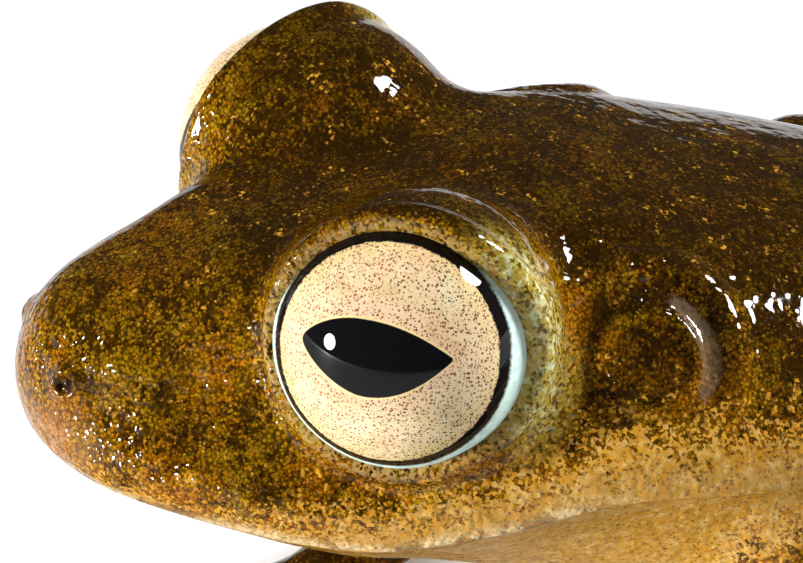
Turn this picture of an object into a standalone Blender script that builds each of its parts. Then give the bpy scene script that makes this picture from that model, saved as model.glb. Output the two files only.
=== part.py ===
"""A leaf-litter rain frog at life size, sitting, as one field of lengths parted into named solids.

The frog faces -Y, its left is +X and Z is up. Sizes in this file are millimetres with the floor at
z = 0 and the eyes on y = 0; the objects are scaled to metres and centred when they are made.
"""
import math

import bmesh
import bpy
import numpy as np
from mathutils import Vector

for old in list(bpy.data.objects):
    bpy.data.objects.remove(old, do_unlink=True)

MM = 0.001
MIDDLE = (0.0, 8.6, 0.0)
GAP = 0.3
EDGE = 0.2
PLUG_ANGLE = math.radians(60.0)
PLUG_DEPTH = 0.5
ROOT_FLARE = 0.8

# Head
EYE_HEIGHT = 10.5
EYE_BULGE = np.array([3.06, -0.05, EYE_HEIGHT + 0.02])
EYE_BULGE_RADIUS = 2.30
EYEBALL = np.array([3.17, -0.33, EYE_HEIGHT + 0.05])
EYEBALL_RADIUS = 2.15
EYE_AXIS = np.array([0.842, -0.443, 0.305])
EYE_AXIS = EYE_AXIS / np.linalg.norm(EYE_AXIS)
LID_ANGLE = math.radians(68.0)
JAW_ANGLE_Y = 4.5
TYMPANUM_RADIUS = 0.78
# Line of the mouth under the eye centres, going back from the snout
MOUTH_Y = [-6.0, -4.5, -3.3, -2.2, -1.2, -0.2, 1.0, 2.2, 3.4, 4.6, 8.0]
MOUTH_Z = [-3.16, -3.09, -3.17, -3.29, -3.30, -3.12, -2.86, -2.54, -2.38, -2.40, -2.6]
# Half width and reach forward of the head at each height above the line of the mouth
HEAD_LEVEL = [-3.0, -2.2, -1.5, -0.8, -0.1, 0.1, 0.7, 1.4, 2.1, 2.7, 3.3, 4.2]
HEAD_HALF = [1.6, 2.75, 3.55, 4.3, 5.0, 5.30, 5.20, 4.62, 3.98, 3.45, 3.10, 2.8]
HEAD_REACH = [4.4, 6.4, 7.6, 8.6, 9.80, 10.03, 10.38, 10.50, 10.42, 10.24, 9.92, 9.45]
# Top of the head over the eye centres, and the chin under them, going back from the snout
TOP_Y = [-6.4, -5.4, -4.5, -3.6, -2.5, -1.2, 0.0, 2.0, 4.0, 6.0, 8.3, 12.0]
TOP_Z = [-0.85, -0.12, 0.14, 0.40, 0.82, 1.02, 1.18, 1.42, 1.02, 0.10, -0.85, -2.0]
CHIN_Y = [-6.0, -4.5, -3.0, -1.0, 2.0, 5.0, 9.0]
CHIN_Z = [-3.5, -3.85, -4.3, -5.0, -5.65, -6.0, -6.1]

# How much the crown and the chin curve down and up towards the sides, and how round their edges are
CROWN_CURVE = 0.03
CHIN_CURVE = 0.06
CROWN_EDGE = 1.0
CHIN_EDGE = 1.2
BULGE_BLEND = 0.7
HEAD_BACK = 4.5
# Shallow hollows of the side of the snout: centre, spread and depth
HOLLOWS = [(np.array([2.5, -3.7, 9.5]), 0.85, 0.36), (np.array([2.0, -4.85, 9.0]), 0.55, 0.13)]

# Trunk: centre and half sizes of each swelling
CHEST = (np.array([0, 8.4, 6.6]), (5.1, 6.2, 3.5))
BELLY = (np.array([0, 13.6, 5.1]), (5.5, 6.6, 3.95))
PELVIS = (np.array([0, 19.4, 3.8]), (3.6, 5.2, 3.95))
NECK = (np.array([0, 5.0, 7.6]), (4.75, 4.6, 3.1))
VENT = (np.array([0, 24.2, 4.5]), (0.7, 0.8, 0.5))

# How softly neighbouring forms flow into each other
TRUNK_BLEND = 2.0
NECK_BLEND = 1.5
VENT_BLEND = 0.6
HEAD_BLEND = 1.6
ROOT_BLEND = 0.8
ELBOW_BLEND = 0.5
WRIST_BLEND = 0.4
KNEE_BLEND = 0.35
HEEL_BLEND = 0.4
DIGIT_BLEND = 0.3

# Limbs: joints of each side, both given as if on the left
POSE = {
    "left": dict(shoulder=(3.9, 6.2, 6.3), elbow=(6.9, 6.6, 3.6), wrist=(5.3, 0.5, 1.2),
                 hip=(1.9, 21.0, 4.6), knee=(10.2, 10.6, 5.0), heel=(6.6, 24.6, 1.05),
                 ankle=(9.0, 17.4, 0.85), hand_turn=12.0, foot_turn=14.0),
    "right": dict(shoulder=(3.9, 6.2, 6.3), elbow=(6.8, 6.3, 3.7), wrist=(4.0, 0.3, 1.6),
                  hip=(1.9, 21.0, 4.6), knee=(10.2, 10.8, 4.5), heel=(6.6, 24.6, 1.05),
                  ankle=(9.0, 17.4, 0.85), hand_turn=-8.0, foot_turn=14.0),
}
SIDES = {"left": 1.0, "right": -1.0}
# Radius along each limb bone, from its root to its end
LIMB_RADII = {
    "upper_arm": (1.7, 1.35, 1.05, 0.92),
    "forearm": (0.95, 1.15, 1.0, 0.72, 0.62),
    "thigh": (2.3, 2.25, 1.95, 1.55, 1.25),
    "shank": (1.15, 1.45, 1.35, 0.95, 0.82),
    "tarsus": (0.85, 0.72, 0.66, 0.72),
}
# Digits: angle from the line of the hand or foot, length, radius of the disc
FINGERS = [(-40.0, 3.2, 0.52), (-14.0, 3.9, 0.64), (10.0, 5.6, 0.84), (38.0, 4.4, 0.80)]
TOES = [(-34.0, 3.2, 0.46), (-20.0, 4.8, 0.56), (-8.0, 7.2, 0.64), (3.0, 11.2, 0.76), (16.0, 9.2, 0.70)]
DIGIT_RADIUS = 0.35


def unit(v):
    v = np.asarray(v, float)
    return v / np.linalg.norm(v)


def smin(a, b, k):
    h = np.clip(0.5 + 0.5 * (b - a) / k, 0.0, 1.0)
    return b + (a - b) * h - k * h * (1.0 - h)


def smax(a, b, k):
    return -smin(-a, -b, k)


def curve(x, xs, ys):
    """A smooth line through the named points, read at x."""
    xs = np.asarray(xs, float)
    ys = np.asarray(ys, float)
    d = np.diff(ys) / np.diff(xs)
    between = np.where(d[:-1] * d[1:] > 0, 2 * d[:-1] * d[1:] / (d[:-1] + d[1:] + 1e-30), 0.0)
    m = np.concatenate([d[:1], between, d[-1:]])
    x = np.clip(x, xs[0], xs[-1])
    i = np.clip(np.searchsorted(xs, x) - 1, 0, len(xs) - 2)
    h = xs[i + 1] - xs[i]
    t = (x - xs[i]) / h
    s = t * t * (3 - 2 * t)
    return (1 - s) * ys[i] + s * ys[i + 1] + h * t * (1 - t) * ((1 - t) * m[i] - t * m[i + 1])


def ball(p, c, r):
    return np.linalg.norm(p - c, axis=1) - r


def ellipsoid(p, c, radii, axes=None):
    q = p - c
    if axes is not None:
        q = q @ np.asarray(axes).T
    r = np.asarray(radii, float)
    k0 = np.linalg.norm(q / r, axis=1)
    k1 = np.linalg.norm(q / r**2, axis=1)
    return k0 * (k0 - 1.0) / np.maximum(k1, 1e-9)


def limb(p, a, b, radii, flat=None):
    """A limb from a to b whose radius follows the list at even steps; flat squeezes its height."""
    a = np.asarray(a, float)
    b = np.asarray(b, float)
    ab = b - a
    q = p - a
    t = np.clip(q @ ab / (ab @ ab), 0.0, 1.0)
    r = curve(t, np.linspace(0, 1, len(radii)), radii)
    d = q - t[:, None] * ab
    if flat is not None:
        n = np.array([0, 0, 1.0])
        n = unit(n - ab * (n @ ab) / (ab @ ab))
        d = d + np.outer(d @ n, n) * (1.0 / flat - 1.0)
    return np.linalg.norm(d, axis=1) - r


def nearby(form, p, a, b, reach):
    """A form near the line from a to b, and elsewhere the plain distance to that neighbourhood."""
    a = np.asarray(a, float)
    b = np.asarray(b, float)
    out = np.linalg.norm(p - (a + b) / 2, axis=1) - np.linalg.norm(b - a) / 2 - reach
    close = out < 1.5
    if close.any():
        out[close] = form(p[close])
    return out


def fold(q):
    """Fold the right side of the body onto the left."""
    p = q.copy()
    p[:, 0] = np.abs(p[:, 0])
    return p


def on_left(q, side):
    p = q.copy()
    p[:, 0] *= SIDES[side]
    return p


def mouth_level(p):
    """Height above the line of the mouth."""
    return p[:, 2] - EYE_HEIGHT - curve(p[:, 1], MOUTH_Y, MOUTH_Z)


def head_form(p):
    level = mouth_level(p)
    a = curve(level, HEAD_LEVEL, HEAD_HALF)
    t = p[:, 1] - JAW_ANGLE_Y
    b = np.where(t > 0, HEAD_BACK, curve(level, HEAD_LEVEL, HEAD_REACH))
    x = p[:, 0]
    k0 = np.sqrt((x / a) ** 2 + (t / b) ** 2)
    k1 = np.sqrt((x / a**2) ** 2 + (t / b**2) ** 2)
    wall = k0 * (k0 - 1.0) / np.maximum(k1, 1e-6)
    top = p[:, 2] - EYE_HEIGHT - curve(p[:, 1], TOP_Y, TOP_Z) + CROWN_CURVE * x**2
    under = curve(p[:, 1], CHIN_Y, CHIN_Z) + CHIN_CURVE * x**2 - (p[:, 2] - EYE_HEIGHT)
    d = smax(smax(wall, top, CROWN_EDGE), under, CHIN_EDGE)
    return smin(d, ball(p, EYE_BULGE, EYE_BULGE_RADIUS), BULGE_BLEND)


def trunk_form(p):
    d = smin(ellipsoid(p, *CHEST), ellipsoid(p, *BELLY), TRUNK_BLEND)
    d = smin(d, ellipsoid(p, *PELVIS), TRUNK_BLEND)
    d = smin(d, ellipsoid(p, *NECK), NECK_BLEND)
    return smin(d, ellipsoid(p, *VENT), VENT_BLEND)


def body_plain(q):
    p = fold(q)
    head = nearby(head_form, p, (0, -1, 8.5), (0, 3, 8.5), 7.6)
    trunk = nearby(trunk_form, p, (0, 8, 6.0), (0, 20, 5.0), 7.2)
    return smin(head, trunk, HEAD_BLEND)


def slope(form, p, h=0.01):
    """A form's value and gradient at each point."""
    g = np.empty_like(p)
    for k in range(3):
        e = np.zeros(3)
        e[k] = h
        g[:, k] = (form(p + e) - form(p - e)) / (2 * h)
    return form(p), g


def slide_to(form, p, steps=12, most=10.0):
    """Move points along the gradient onto the zero level of a form."""
    p = np.array(p, float).reshape(-1, 3)
    for _ in range(steps):
        f, g = slope(form, p)
        move = g * (f / np.maximum((g * g).sum(1), 0.2))[:, None]
        size = np.linalg.norm(move, axis=1)
        p = p - move * np.minimum(1.0, most / np.maximum(size, 1e-9))[:, None]
    return p


# Features set on the skin of the plain body
NOSTRIL = slide_to(body_plain, (1.16, -5.38, EYE_HEIGHT - 1.20))[0]
NOSTRIL_HOLE = NOSTRIL + [0.12, -0.06, 0.03]
TYMPANUM = slide_to(body_plain, (4.03, 3.38, EYE_HEIGHT - 0.52))[0]
TYMPANUM_OUT = unit(slope(body_plain, TYMPANUM[None])[1][0])
FOLD_PLACES = np.array([(3.15, 1.9, 10.8), (2.85, 3.3, 11.0), (3.1, 4.35, 10.85), (3.8, 4.8, 10.35),
                        (4.5, 4.75, 9.7), (5.0, 4.4, 9.0)])
FOLD_STEPS = 16
FOLD = slide_to(body_plain, np.stack([curve(np.linspace(0, 5, FOLD_STEPS), np.arange(6), FOLD_PLACES[:, k])
                                      for k in range(3)], 1))
FOLD = FOLD - 0.17 * np.array([unit(g) for g in slope(body_plain, FOLD)[1]])
FOLD_RADII = 0.22 * np.sin(math.pi * (np.arange(FOLD_STEPS) + 0.4) / (FOLD_STEPS - 0.2)) ** 0.5


def eye_angle(p):
    """Distance from the eyeball's centre, and angle from the line that the eye looks along."""
    q = p - EYEBALL
    r = np.linalg.norm(q, axis=1)
    return r, np.arccos(np.clip(q @ EYE_AXIS / np.maximum(r, 1e-6), -1, 1))


def rise(x, low, high):
    """0 below low, 1 above high, smooth between."""
    t = np.clip((x - low) / (high - low), 0, 1)
    return t * t * (3 - 2 * t)


def round_the_eye(p):
    """Place along and off the eye's axis, how far it is towards the brow and the back, and the lid's edge."""
    q = p - EYEBALL
    up = unit(np.array([0, 0, 1.0]) - EYE_AXIS * EYE_AXIS[2])
    back = np.cross(EYE_AXIS, up)
    back = back * np.sign(back[1])
    along = q @ EYE_AXIS
    u = q @ up
    w = q @ back
    rho = np.sqrt(u * u + w * w) + 1e-9
    high = u / rho
    rear = w / rho
    edge = LID_ANGLE - math.radians(6.5) * rise(high, -0.1, 0.65) + math.radians(7.0) * rise(rear, 0.5, 1.0)
    return along, rho, high, rear, edge


def lid_ring(p):
    """The rolled edge of the lids: a thick brow above, thin below and in front."""
    along, rho, high, rear, edge = round_the_eye(p)
    thick = 0.16 + 0.06 * rise(high, -0.2, 1.0) + 0.06 * rear
    reach = 2.17 + 0.10 * rise(high, -0.2, 1.0) + 0.05 * rear
    angle = edge + thick / reach
    return np.sqrt((rho - reach * np.sin(angle)) ** 2 + (along - reach * np.cos(angle)) ** 2) - thick


def eye_opening(p):
    """Negative between the lids, over the eyeball."""
    r, angle = eye_angle(p)
    edge = round_the_eye(p)[4]
    return np.maximum((angle - edge) * np.maximum(r, 0.5), 1.9 - r)


def tympanum_ring(p):
    q = p - TYMPANUM
    along = q @ TYMPANUM_OUT
    rho = np.linalg.norm(q - np.outer(along, TYMPANUM_OUT), axis=1)
    return np.sqrt((rho - TYMPANUM_RADIUS) ** 2 + (along + 0.05) ** 2) - 0.09


def head_marks(p, d):
    """Hollows, lids, tympanum, the fold over it and the nostril, worked into the body's form d."""
    for centre, spread, depth in HOLLOWS:
        d = d + depth * np.exp(-((p - centre) ** 2).sum(1) / spread**2)
    d = smin(d, ball(p, EYEBALL, EYEBALL_RADIUS + 0.07), 0.3)
    d = smin(d, lid_ring(p), 0.25)
    d = smin(d, tympanum_ring(p), 0.2)
    for k in range(FOLD_STEPS - 1):
        d = smin(d, limb(p, FOLD[k], FOLD[k + 1], FOLD_RADII[k:k + 2]), 0.3)
    d = smin(d, ball(p, NOSTRIL + [-0.06, 0.05, -0.03], 0.22), 0.3)
    d = smax(d, -ball(p, NOSTRIL_HOLE, 0.17), 0.06)
    return smin(d, ball(p, NOSTRIL + [0.02, 0.20, -0.03], 0.17), 0.08)


def body_form(q):
    p = fold(q)
    d = body_plain(p)
    close = (p[:, 1] < 7.0) & (np.abs(d) < 1.2)
    if close.any():
        d[close] = head_marks(p[close], d[close])
    return d


def turn(v, degrees):
    c = math.cos(math.radians(degrees))
    s = math.sin(math.radians(degrees))
    return np.array([v[0] * c - v[1] * s, v[0] * s + v[1] * c, v[2]])


def level_with(v, z):
    return np.array([v[0], v[1], z])


def digit(p, root, direction, length, disc, root_z, width=DIGIT_RADIUS):
    """A slender jointed digit that ends in a flat disc."""
    a = level_with(root, root_z)
    tip = level_with(a + direction * length, 0.30)
    knuckle = level_with(a + direction * length * 0.5, max(0.42, (root_z + 0.16) * 0.55))
    axes = np.array([np.cross((0, 0, 1.0), direction), direction, (0, 0, 1.0)])

    def form(q):
        d = limb(q, a, knuckle, (width, width * 0.86, width))
        d = smin(d, limb(q, knuckle, tip, (width, width * 0.84, width * 0.8)), 0.15)
        return smin(d, ellipsoid(q, tip + direction * 0.1, (disc, disc * 0.9, 0.36), axes), 0.25)

    return nearby(form, p, a, tip, 1.3)


def limb_line(side, name):
    pose = POSE[side]
    ends = {"upper_arm": ("shoulder", "elbow"), "forearm": ("elbow", "wrist"), "thigh": ("hip", "knee"),
            "shank": ("knee", "heel"), "tarsus": ("heel", "ankle")}[name]
    return [np.array(pose[e]) for e in ends]


def hand_line(side):
    return turn(np.array([0.0, -1.0, 0.0]), POSE[side]["hand_turn"])


def foot_line(side):
    heel, ankle = limb_line(side, "tarsus")
    return turn(unit((ankle - heel) * [1, 1, 0]), POSE[side]["foot_turn"])


def palm_point(side):
    return level_with(np.array(POSE[side]["wrist"]) + hand_line(side) * 2.1, 0.62)


def sole_point(side):
    return level_with(np.array(POSE[side]["ankle"]) + foot_line(side) * 2.2, 0.55)


def bone(q, side, name):
    """One limb segment, with q already on the left."""
    a, b = limb_line(side, name)
    radii = LIMB_RADII[name]
    return nearby(lambda p: limb(p, a, b, radii), q, a, b, max(radii))


def hand_form(q, side):
    wrist = np.array(POSE[side]["wrist"])
    palm = palm_point(side)
    ahead = hand_line(side)

    def form(p):
        d = limb(p, wrist, palm, (0.66, 0.95, 1.05), flat=0.62)
        for angle, length, disc in FINGERS:
            out = turn(ahead, angle)
            d = smin(d, digit(p, palm + out * 0.25, out, length, disc, 0.55), DIGIT_BLEND)
        return d

    return nearby(form, q, palm, palm + ahead * 2.0, 7.5)


def foot_form(q, side):
    ankle = np.array(POSE[side]["ankle"])
    sole = sole_point(side)
    ahead = foot_line(side)

    def form(p):
        d = limb(p, ankle, sole, (0.72, 0.95, 1.15), flat=0.6)
        for angle, length, disc in TOES:
            out = turn(ahead, angle)
            root = sole + out * 0.25 + turn(ahead, 90) * math.sin(math.radians(angle)) * 0.9
            d = smin(d, digit(p, root, out, length, disc, 0.5), DIGIT_BLEND)
        return d

    return nearby(form, q, ankle, ankle + ahead * 14.0, 3.0)


def cut(d, side):
    """Keep the part of a form where side is negative, back from the cut by half the gap."""
    return smax(d, side + GAP / 2, EDGE)


def over_floor(d, p):
    return np.maximum(d, -p[:, 2])


def neck_cut(p):
    return p[:, 1] - (6.0 + 0.45 * (p[:, 2] - EYE_HEIGHT))


def joint_plane(p, before, joint, after):
    """Negative on the side of the joint where the limb comes from."""
    j = np.asarray(joint, float)
    n = unit(unit(np.asarray(after, float) - j) - unit(np.asarray(before, float) - j))
    return (p - j) @ n


def body_with_roots(p):
    """The body blended into the roots of the limbs, and those roots by themselves."""
    d = body_form(p)
    limbs = np.full(len(p), 50.0)
    for side in SIDES:
        q = on_left(p, side)
        for name in ("upper_arm", "thigh"):
            root = bone(q, side, name)
            limbs = np.minimum(limbs, root)
            d = smin(d, root, ROOT_BLEND)
    return d, limbs


def eye_plug(p):
    """The part of the eyeball that shows, with a flat back and tapered sides inside the lids."""
    r, angle = eye_angle(p)
    side = (angle - PLUG_ANGLE) * np.maximum(r, 0.5)
    return np.maximum(np.maximum(r - EYEBALL_RADIUS, side), PLUG_DEPTH - (p - EYEBALL) @ EYE_AXIS)


def head_node(p):
    q = fold(p)
    d = smax(body_with_roots(p)[0], -eye_opening(q), EDGE)
    d = smax(d, GAP - eye_plug(q), EDGE)
    return cut(cut(d, neck_cut(p)), -mouth_level(p))


def jaw_node(p):
    return cut(cut(body_with_roots(p)[0], neck_cut(p)), mouth_level(p))


def torso_node(p):
    d, limbs = body_with_roots(p)
    d = cut(d, 0.5 * (body_form(p) - limbs))
    return over_floor(cut(d, -neck_cut(p)), p)


def arm_node(q, side, which):
    p = on_left(q, side)
    pose = POSE[side]
    upper = bone(p, side, "upper_arm")
    fore = bone(p, side, "forearm")
    elbow = joint_plane(p, pose["shoulder"], pose["elbow"], pose["wrist"])
    wrist = joint_plane(p, pose["elbow"], pose["wrist"], palm_point(side))
    if which == "upper_arm":
        body = body_form(p)
        d = cut(cut(smin(upper, body, ROOT_BLEND), 0.5 * (upper - body)), elbow)
        return np.maximum(d, smin(upper, fore, ELBOW_BLEND) - ROOT_FLARE)
    hand = hand_form(p, side)
    if which == "forearm":
        d = smin(smin(upper, fore, ELBOW_BLEND), hand, WRIST_BLEND)
        return cut(cut(d, -elbow), wrist)
    return over_floor(cut(smin(fore, hand, WRIST_BLEND), -wrist), p)


def leg_node(q, side, which):
    p = on_left(q, side)
    pose = POSE[side]
    shank = bone(p, side, "shank")
    knee = joint_plane(p, pose["hip"], pose["knee"], pose["heel"])
    heel = joint_plane(p, pose["knee"], pose["heel"], pose["ankle"])
    if which == "thigh":
        thigh = bone(p, side, "thigh")
        body = body_form(p)
        d = smin(smin(thigh, body, ROOT_BLEND), shank, KNEE_BLEND)
        return cut(cut(d, 0.5 * (thigh - body)), knee)
    tarsus = bone(p, side, "tarsus")
    if which == "shank":
        d = smin(smin(bone(p, side, "thigh"), shank, KNEE_BLEND), tarsus, HEEL_BLEND)
        return over_floor(cut(cut(d, -knee), heel), p)
    ankle = joint_plane(p, pose["heel"], pose["ankle"], sole_point(side))
    foot = foot_form(p, side)
    if which == "tarsus":
        d = smin(smin(shank, tarsus, HEEL_BLEND), foot, HEEL_BLEND)
        return over_floor(cut(cut(d, -heel), ankle), p)
    return over_floor(cut(smin(tarsus, foot, HEEL_BLEND), -ankle), p)


PATHS = [(0, 1, 2), (0, 2, 1), (1, 0, 2), (1, 2, 0), (2, 0, 1), (2, 1, 0)]


def surface(form, low, high, step):
    """Closed triangle surface of form = 0 in a box, by splitting each cell into six tetrahedra."""
    low = np.asarray(low, float) - 0.37 * step
    n = np.ceil((np.asarray(high, float) - low) / step).astype(int) + 1
    axes = [low[k] + step * np.arange(n[k]) for k in range(3)]
    pts = np.stack(np.meshgrid(*axes, indexing="ij"), -1).reshape(-1, 3)
    val = np.concatenate([form(pts[i:i + 200000]) for i in range(0, len(pts), 200000)])
    val = np.where(val == 0, 1e-9, val)
    inside = (val < 0).reshape(n)
    total = sum(inside[a:n[0] - 1 + a, b:n[1] - 1 + b, c:n[2] - 1 + c].astype(int)
                for a in (0, 1) for b in (0, 1) for c in (0, 1))
    cell = np.argwhere((total > 0) & (total < 8))
    stride = np.array([n[1] * n[2], n[2], 1])
    base = cell @ stride
    tris = []
    for path in PATHS:
        idx = [base]
        for k in path:
            idx.append(idx[-1] + stride[k])
        idx = np.stack(idx, 1)
        neg = val[idx] < 0
        count = neg.sum(1)
        for want in (1, 3):
            rows = idx[count == want]
            flag = neg[count == want]
            lone = np.argmax(flag if want == 1 else ~flag, 1)
            for v in range(4):
                r = rows[lone == v]
                others = [k for k in range(4) if k != v]
                tris.append(np.stack([np.stack([r[:, v], r[:, k]], 1) for k in others], 1))
        rows = idx[count == 2]
        flag = neg[count == 2]
        for a, b in ((0, 1), (0, 2), (0, 3), (1, 2), (1, 3), (2, 3)):
            c, d = [k for k in range(4) if k not in (a, b)]
            r = rows[flag[:, a] & flag[:, b]]
            corner = [np.stack([r[:, x], r[:, y]], 1) for x, y in ((a, c), (a, d), (b, d), (b, c))]
            tris.append(np.stack([corner[0], corner[1], corner[2]], 1))
            tris.append(np.stack([corner[0], corner[2], corner[3]], 1))
    ends = np.sort(np.concatenate(tris).reshape(-1, 2), 1)
    key = ends[:, 0].astype(np.int64) * len(pts) + ends[:, 1]
    uniq, face = np.unique(key, return_inverse=True)
    face = face.reshape(-1, 3)
    a = uniq // len(pts)
    b = uniq % len(pts)
    t = val[a] / (val[a] - val[b])
    verts = pts[a] + (pts[b] - pts[a]) * t[:, None]
    for _ in range(2):
        f, g = slope(form, verts)
        move = g * (f / np.maximum((g * g).sum(1), 0.2))[:, None]
        size = np.linalg.norm(move, axis=1)
        move *= np.minimum(1.0, 0.3 * step / np.maximum(size, 1e-9))[:, None]
        verts = verts - move
    mid = verts[face]
    normal = np.cross(mid[:, 1] - mid[:, 0], mid[:, 2] - mid[:, 0])
    f, g = slope(form, mid.mean(1))
    flip = (normal * g).sum(1) < 0
    face[flip] = face[flip][:, ::-1]
    return verts, face


def oriented(verts, face):
    """Mesh with consistent outward faces."""
    mesh = bpy.data.meshes.new("solid")
    mesh.from_pydata(verts.tolist(), [], face.tolist())
    bm = bmesh.new()
    bm.from_mesh(mesh)
    bmesh.ops.recalc_face_normals(bm, faces=bm.faces)
    if bm.calc_volume(signed=True) < 0:
        bmesh.ops.reverse_faces(bm, faces=bm.faces)
    bm.to_mesh(mesh)
    bm.free()
    return mesh


def largest_piece(mesh):
    bm = bmesh.new()
    bm.from_mesh(mesh)
    seen = set()
    best = []
    for start in bm.verts:
        if start in seen:
            continue
        stack = [start]
        group = []
        seen.add(start)
        while stack:
            v = stack.pop()
            group.append(v)
            for e in v.link_edges:
                w = e.other_vert(v)
                if w not in seen:
                    seen.add(w)
                    stack.append(w)
        if len(group) > len(best):
            best = group
    keep = set(best)
    bmesh.ops.delete(bm, geom=[v for v in bm.verts if v not in keep], context="VERTS")
    bm.to_mesh(mesh)
    bm.free()


def skin_material(name, colour, rough):
    mat = bpy.data.materials.new(name)
    mat.use_nodes = True
    shader = mat.node_tree.nodes["Principled BSDF"]
    shader.inputs["Base Color"].default_value = (*colour, 1.0)
    shader.inputs["Roughness"].default_value = rough
    shader.inputs["Metallic"].default_value = 0.0
    return mat


root = bpy.data.objects.new("frog", None)
bpy.context.scene.collection.objects.link(root)


def add_node(name, form, low, high, step, target, origin, colour, rough=0.3):
    verts, face = surface(form, low, high, step)
    mesh = oriented(verts, face)
    largest_piece(mesh)
    mesh.name = name
    obj = bpy.data.objects.new(name, mesh)
    bpy.context.scene.collection.objects.link(obj)
    count = len(mesh.polygons)
    thin = obj.modifiers.new("thin", "DECIMATE")
    thin.ratio = min(1.0, target / count)
    bpy.context.view_layer.update()
    got = bpy.data.meshes.new_from_object(obj.evaluated_get(bpy.context.evaluated_depsgraph_get()))
    obj.modifiers.clear()
    obj.data = got
    co = np.empty(len(got.vertices) * 3)
    got.vertices.foreach_get("co", co)
    co = co.reshape(-1, 3)
    co[:, 2] = np.where(co[:, 2] < 0.03, 0.0, co[:, 2])
    co = (co - np.asarray(origin)) * MM
    got.vertices.foreach_set("co", co.ravel())
    got.shade_smooth()
    got.materials.append(skin_material("mat_" + name, colour, rough))
    obj.location = Vector(np.asarray(origin) * MM)
    obj.parent = root
    print(name, count, len(got.polygons))
    return obj


OLIVE = (0.16, 0.11, 0.045)
CREAM = (0.62, 0.45, 0.26)
EYE = (0.70, 0.52, 0.36)

add_node("head", head_node, (-7, -7, 6), (7, 8, 14.5), 0.17, 3600, (0, 6.0, 9.0), OLIVE)
add_node("lower_jaw", jaw_node, (-7, -7, 3.5), (7, 6.5, 9), 0.25, 900, (0, 4.5, 7.0), CREAM)
add_node("torso", torso_node, (-8, 2, -0.5), (8, 27, 13), 0.35, 1900, (0, 18.0, 5.0), OLIVE)
for side, sign in SIDES.items():
    pose = POSE[side]

    def span(points, pad, sign=sign):
        pts = np.array(points) * [sign, 1, 1]
        return pts.min(0) - pad, pts.max(0) + pad

    def at(point, sign=sign):
        return np.array(point) * [sign, 1, 1]

    wrist = np.array(pose["wrist"])
    ankle = np.array(pose["ankle"])
    limbs = {
        "upper_arm": (arm_node, span([pose["shoulder"], pose["elbow"]], 2.4), 0.25, 320, pose["shoulder"]),
        "forearm": (arm_node, span([pose["elbow"], pose["wrist"]], 2.0), 0.22, 360, pose["elbow"]),
        "hand": (arm_node, span([wrist + [6.5, -9.5, -2], wrist + [-7.0, 1.5, 1.5]], 0.6), 0.17, 1000, wrist),
        "thigh": (leg_node, span([pose["hip"], pose["knee"]], 3.2), 0.3, 460, pose["hip"]),
        "shank": (leg_node, span([pose["knee"], pose["heel"]], 2.4), 0.28, 420, pose["knee"]),
        "tarsus": (leg_node, span([pose["heel"], pose["ankle"]], 1.8), 0.22, 320, pose["heel"]),
        "foot": (leg_node, span([ankle + [9, -14.5, -1.5], ankle + [-4, 1.5, 1.5]], 0.6), 0.18, 1200, ankle),
    }
    add_node("eye_" + side, lambda p, s=side: eye_plug(on_left(p, s)), *span([EYEBALL], 2.6), 0.2, 420,
             at(EYEBALL), EYE, 0.08)
    for name, (node, box, step, target, origin) in limbs.items():
        add_node(name + "_" + side, lambda p, s=side, n=node, w=name: n(p, s, w), *box, step, target,
                 at(origin), OLIVE)

root.location = (-MIDDLE[0] * MM, -MIDDLE[1] * MM, -MIDDLE[2] * MM)
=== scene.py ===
"""Looks of a life-size rain frog: one wet skin over the whole body, two eyes, studio light and camera.

Forms are written in millimetres with the eyes on y = 0 and the floor at z = 0, and moved to the
frame's metres at the end.
"""
import math

import bpy
import numpy as np
from mathutils import Matrix, Vector


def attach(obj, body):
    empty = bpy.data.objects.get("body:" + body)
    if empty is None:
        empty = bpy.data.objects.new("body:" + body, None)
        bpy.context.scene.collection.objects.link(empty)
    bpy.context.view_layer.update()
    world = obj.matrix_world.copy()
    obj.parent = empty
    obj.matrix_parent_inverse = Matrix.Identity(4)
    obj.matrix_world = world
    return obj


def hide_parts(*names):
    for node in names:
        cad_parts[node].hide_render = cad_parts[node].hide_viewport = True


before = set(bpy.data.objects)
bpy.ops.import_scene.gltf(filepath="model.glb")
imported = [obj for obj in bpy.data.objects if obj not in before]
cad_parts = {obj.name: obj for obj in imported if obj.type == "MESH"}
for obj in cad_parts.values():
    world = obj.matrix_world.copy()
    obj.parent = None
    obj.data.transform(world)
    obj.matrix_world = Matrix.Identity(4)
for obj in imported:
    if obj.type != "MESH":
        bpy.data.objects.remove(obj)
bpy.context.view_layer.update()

MM = 0.001
MIDDLE = np.array([0.0, 8.6, 0.0])
# Step of the skin's net, steps in a block, blocks read at once, and the box that holds the frog
FINE = 0.11
BLOCK = 8
BATCH = 400
SKIN_LOW = (-19.0, -11.0, -0.6)
SKIN_HIGH = (19.0, 27.0, 14.0)
# How soft the edges of the lids are, and depth, half width and end of the crease between the lips
LID_EDGE = 0.14
CREASE_DEPTH = 0.11
CREASE_WIDTH = 0.055
CREASE_END = 3.9

# Head
EYE_HEIGHT = 10.5
EYE_BULGE = np.array([3.06, -0.05, EYE_HEIGHT + 0.02])
EYE_BULGE_RADIUS = 2.30
EYEBALL = np.array([3.17, -0.33, EYE_HEIGHT + 0.05])
EYEBALL_RADIUS = 2.15
EYE_AXIS = np.array([0.842, -0.443, 0.305])
EYE_AXIS = EYE_AXIS / np.linalg.norm(EYE_AXIS)
LID_ANGLE = math.radians(68.0)
JAW_ANGLE_Y = 4.5
TYMPANUM_RADIUS = 0.78
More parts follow.
